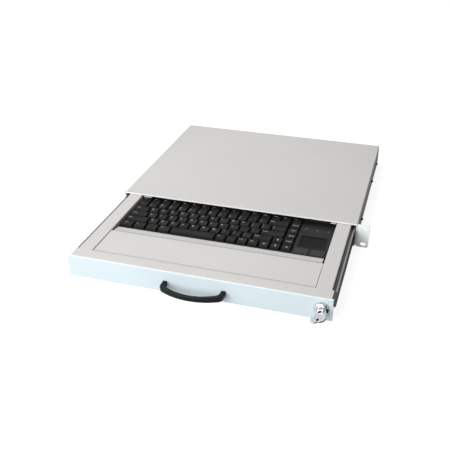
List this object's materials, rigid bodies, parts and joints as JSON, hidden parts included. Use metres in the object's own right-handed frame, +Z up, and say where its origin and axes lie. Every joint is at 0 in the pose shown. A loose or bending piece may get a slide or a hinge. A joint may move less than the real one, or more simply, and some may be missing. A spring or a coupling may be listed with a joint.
{
  "type": "rackmount keyboard drawer",
  "caption": "One-unit rack drawer on ball slides that carries a compact keyboard with touch pad, palm rest, bow handle and cam lock.",
  "frame": {"origin": "centre of the rack slot pattern, on the front face of the rack ears", "axes": "+X to the operator's right along the rack's width, +Y to the back into the rack, +Z up"},
  "size_m": [0.4826, 0.6381, 0.0436],
  "materials": {
    "painted_steel": "light grey fine powder coat",
    "ear_paint": "grey powder coat",
    "panel_paint": "cool white powder coat",
    "slide_steel": "rolled zinc-plated steel",
    "zinc_steel": "zinc-plated steel",
    "bright_steel": "polished bearing steel",
    "black_steel": "black oxide",
    "handle_plastic": "satin black",
    "lock_chrome": "polished chrome plate",
    "key_chrome": "nickel plate",
    "case_plastic": "fine textured black",
    "keycap_plastic": "fine textured black",
    "button_plastic": "satin black",
    "pad_plastic": "satin black film",
    "lamp_lens": "milky lens",
    "membrane_film": "clear film with printed tracks",
    "dome_rubber": "translucent silicone",
    "legend_ink": "white printed ink",
    "board_laminate": "green solder resist"
  },
  "bodies": {
    "housing": {"housing_chassis": "painted_steel", "top_cover": "painted_steel", "ear_left": "ear_paint", "ear_right": "ear_paint", "ear_screws": "zinc_steel", "side_screws": "black_steel", "slide_rail_left": "slide_steel", "slide_rail_right": "slide_steel", "lock_strike": "zinc_steel"},
    "drawer": {"slide_channel_left": "slide_steel", "slide_channel_right": "slide_steel", "channel_screws": "zinc_steel", "drawer_tray": "painted_steel", "drawer_back": "painted_steel", "deck_frame": "painted_steel", "palm_rest": "painted_steel", "front_panel": "panel_paint", "panel_screws": "zinc_steel", "handle": "handle_plastic", "handle_screws": "zinc_steel", "lock_barrel": "lock_chrome", "lock_nut": "zinc_steel", "keyboard_base": "case_plastic", "keyboard_bezel": "case_plastic", "key_guide_plate": "case_plastic", "back_plate": "zinc_steel", "switch_membrane": "membrane_film", "dome_mat": "dome_rubber", "controller_board": "board_laminate", "touchpad_board": "board_laminate", "touchpad_surface": "pad_plastic", "status_lamps": "lamp_lens", "keyboard_clip_left": "painted_steel", "keyboard_clip_right": "painted_steel", "keyboard_standoffs": "zinc_steel"},
    "ball_cages": {"ball_cage_left": "slide_steel", "ball_cage_right": "slide_steel", "slide_balls": "bright_steel"},
    "lock_turner": {"lock_plug": "lock_chrome", "lock_cam": "zinc_steel", "cam_screw": "zinc_steel", "lock_key": "key_chrome"},
    "left_touchpad_button": {"touchpad_button_left": "button_plastic"},
    "right_touchpad_button": {"touchpad_button_right": "button_plastic"},
    "function_keys": {"function_keys": "keycap_plastic"},
    "number_keys": {"number_keys": "keycap_plastic"},
    "upper_letter_keys": {"upper_letter_keys": "keycap_plastic"},
    "home_letter_keys": {"home_letter_keys": "keycap_plastic"},
    "lower_letter_keys": {"lower_letter_keys": "keycap_plastic"},
    "tab_key": {"tab_key": "keycap_plastic"},
    "caps_lock_key": {"caps_lock_key": "keycap_plastic"},
    "enter_key": {"enter_key": "keycap_plastic"},
    "backspace_key": {"backspace_key": "keycap_plastic"},
    "left_shift_key": {"left_shift_key": "keycap_plastic"},
    "right_shift_key": {"right_shift_key": "keycap_plastic"},
    "space_bar": {"space_bar": "keycap_plastic"},
    "modifier_keys_left": {"modifier_keys_left": "keycap_plastic"},
    "modifier_keys_right": {"modifier_keys_right": "keycap_plastic"},
    "arrow_keys": {"arrow_keys": "keycap_plastic"},
    "navigation_keys": {"navigation_keys": "keycap_plastic"}
  },
  "joints": [
    {"name": "drawer_slide", "type": "slide", "parent": "housing", "child": "drawer", "axis": [0, -1, 0], "range_m": [-0.2325, 0.0175]},
    {"name": "cage_slide", "type": "slide", "parent": "housing", "child": "ball_cages", "axis": [0, -1, 0], "range_m": [-0.11625, 0.00875]},
    {"name": "lock_turn", "type": "hinge", "parent": "drawer", "child": "lock_turner", "pos_m": [0.1985, -0.2325, 0.001], "axis": [0, -1, 0], "range_deg": [-20, 70]},
    {"name": "left_button_press", "type": "slide", "parent": "drawer", "child": "left_touchpad_button", "axis": [0, 0, -1], "range_m": [0, 0.0008], "stiffness_N_per_m": 600},
    {"name": "right_button_press", "type": "slide", "parent": "drawer", "child": "right_touchpad_button", "axis": [0, 0, -1], "range_m": [0, 0.0008], "stiffness_N_per_m": 600},
    {"name": "function_row_press", "type": "slide", "parent": "drawer", "child": "function_keys", "axis": [0, 0, -1], "range_m": [0, 0.002], "stiffness_N_per_m": 3200, "deforming": ["dome_mat"]},
    {"name": "number_row_press", "type": "slide", "parent": "drawer", "child": "number_keys", "axis": [0, 0, -1], "range_m": [0, 0.002], "stiffness_N_per_m": 2600, "deforming": ["dome_mat"]},
    {"name": "upper_row_press", "type": "slide", "parent": "drawer", "child": "upper_letter_keys", "axis": [0, 0, -1], "range_m": [0, 0.002], "stiffness_N_per_m": 2600, "deforming": ["dome_mat"]},
    {"name": "home_row_press", "type": "slide", "parent": "drawer", "child": "home_letter_keys", "axis": [0, 0, -1], "range_m": [0, 0.002], "stiffness_N_per_m": 2200, "deforming": ["dome_mat"]},
    {"name": "lower_row_press", "type": "slide", "parent": "drawer", "child": "lower_letter_keys", "axis": [0, 0, -1], "range_m": [0, 0.002], "stiffness_N_per_m": 2000, "deforming": ["dome_mat"]},
    {"name": "tab_press", "type": "slide", "parent": "drawer", "child": "tab_key", "axis": [0, 0, -1], "range_m": [0, 0.002], "stiffness_N_per_m": 200, "deforming": ["dome_mat"]},
    {"name": "caps_lock_press", "type": "slide", "parent": "drawer", "child": "caps_lock_key", "axis": [0, 0, -1], "range_m": [0, 0.002], "stiffness_N_per_m": 200, "deforming": ["dome_mat"]},
    {"name": "enter_press", "type": "slide", "parent": "drawer", "child": "enter_key", "axis": [0, 0, -1], "range_m": [0, 0.002], "stiffness_N_per_m": 200, "deforming": ["dome_mat"]},
    {"name": "backspace_press", "type": "slide", "parent": "drawer", "child": "backspace_key", "axis": [0, 0, -1], "range_m": [0, 0.002], "stiffness_N_per_m": 200, "deforming": ["dome_mat"]},
    {"name": "left_shift_press", "type": "slide", "parent": "drawer", "child": "left_shift_key", "axis": [0, 0, -1], "range_m": [0, 0.002], "stiffness_N_per_m": 200, "deforming": ["dome_mat"]},
    {"name": "right_shift_press", "type": "slide", "parent": "drawer", "child": "right_shift_key", "axis": [0, 0, -1], "range_m": [0, 0.002], "stiffness_N_per_m": 200, "deforming": ["dome_mat"]},
    {"name": "space_press", "type": "slide", "parent": "drawer", "child": "space_bar", "axis": [0, 0, -1], "range_m": [0, 0.002], "stiffness_N_per_m": 200, "deforming": ["dome_mat"]},
    {"name": "left_modifiers_press", "type": "slide", "parent": "drawer", "child": "modifier_keys_left", "axis": [0, 0, -1], "range_m": [0, 0.002], "stiffness_N_per_m": 800, "deforming": ["dome_mat"]},
    {"name": "right_modifiers_press", "type": "slide", "parent": "drawer", "child": "modifier_keys_right", "axis": [0, 0, -1], "range_m": [0, 0.002], "stiffness_N_per_m": 800, "deforming": ["dome_mat"]},
    {"name": "arrows_press", "type": "slide", "parent": "drawer", "child": "arrow_keys", "axis": [0, 0, -1], "range_m": [0, 0.002], "stiffness_N_per_m": 800, "deforming": ["dome_mat"]},
    {"name": "navigation_press", "type": "slide", "parent": "drawer", "child": "navigation_keys", "axis": [0, 0, -1], "range_m": [0, 0.002], "stiffness_N_per_m": 800, "deforming": ["dome_mat"]}
  ],
  "couplings": [
    {"joint": "cage_slide", "follows": "drawer_slide", "ratio": 0.5}
  ]
}
